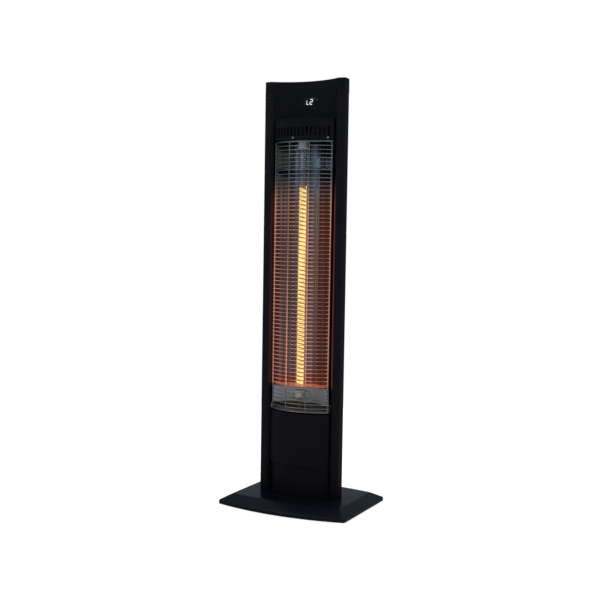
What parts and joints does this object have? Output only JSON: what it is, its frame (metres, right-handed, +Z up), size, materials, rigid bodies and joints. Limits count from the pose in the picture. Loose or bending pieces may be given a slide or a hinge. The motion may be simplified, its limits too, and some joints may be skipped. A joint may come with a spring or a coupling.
{
  "type": "outdoor heater",
  "caption": "Freestanding tower heater: upright carbon tube behind a curved wire guard, slim black column with a scooped display top, wide plinth.",
  "frame": {"origin": "floor level, at the middle of the plinth's footprint", "axes": "+Z up along the column, -Y to the front (guard and display side), +X to the viewer's right"},
  "size_m": [0.29, 0.242, 0.88],
  "materials": {
    "body_black": "satin black powder coat",
    "plinth_black": "semi-gloss black",
    "zinc_steel": "zinc plated",
    "black_plastic": "matte moulded",
    "guard_chrome": "bright plated wire",
    "mirror_aluminium": "polished",
    "screw_steel": "bright",
    "black_rubber": "matte",
    "clear_quartz": "clear",
    "glowing_carbon": "glowing carbon fibre",
    "white_ceramic": "unglazed",
    "white_plastic": "matte",
    "board_green": "solder mask",
    "smoked_lens": "gloss smoked",
    "silicone_lead": "silicone sleeve"
  },
  "bodies": {
    "heater": {"left_wing": "body_black", "right_wing": "body_black", "top_cap": "body_black", "display_panel": "body_black", "vent_panel": "body_black", "lower_panel": "body_black", "lower_fascia": "body_black", "rear_panel": "body_black", "cavity_floor": "body_black", "base_cover": "plinth_black", "ballast_plate": "zinc_steel", "column_bracket_left": "zinc_steel", "column_bracket_right": "zinc_steel", "heat_shield": "zinc_steel", "lower_tube_clip": "zinc_steel", "upper_tube_clip": "zinc_steel", "tip_spring": "zinc_steel", "base_floor": "black_plastic", "tip_switch_housing": "black_plastic", "tip_microswitch": "black_plastic", "led_display": "black_plastic", "power_relay": "black_plastic", "mains_switch_frame": "black_plastic", "cable_gland": "black_plastic", "guard_grille": "guard_chrome", "reflector": "mirror_aluminium", "upper_baffle": "mirror_aluminium", "lower_baffle": "mirror_aluminium", "base_screw_1": "screw_steel", "base_screw_2": "screw_steel", "base_screw_3": "screw_steel", "base_screw_4": "screw_steel", "rear_screw_1": "screw_steel", "rear_screw_2": "screw_steel", "rear_screw_3": "screw_steel", "rear_screw_4": "screw_steel", "vent_screw_left": "screw_steel", "vent_screw_right": "screw_steel", "foot_front_left": "black_rubber", "foot_front_right": "black_rubber", "foot_rear_left": "black_rubber", "foot_rear_right": "black_rubber", "quartz_tube": "clear_quartz", "heating_coil": "glowing_carbon", "upper_tube_cap": "white_ceramic", "lower_tube_cap": "white_ceramic", "terminal_block": "white_ceramic", "status_light": "white_plastic", "control_board": "board_green", "display_board": "board_green", "display_window": "smoked_lens", "lower_lead": "silicone_lead", "upper_lead": "silicone_lead"},
    "tip_plunger": {"tip_plunger": "white_plastic"},
    "mains_rocker": {"mains_switch_rocker": "black_plastic"}
  },
  "joints": [
    {"name": "tip_plunger_slide", "type": "slide", "parent": "heater", "child": "tip_plunger", "axis": [0, 0, -1], "range_m": [0, 0.004], "stiffness_N_per_m": 150, "springref_m": 0.006, "deforming": ["tip_spring"]},
    {"name": "mains_switch_rock", "type": "hinge", "parent": "heater", "child": "mains_rocker", "pos_m": [0.03, 0.0459, 0.075], "axis": [1, 0, 0], "range_deg": [-18, 0]}
  ]
}
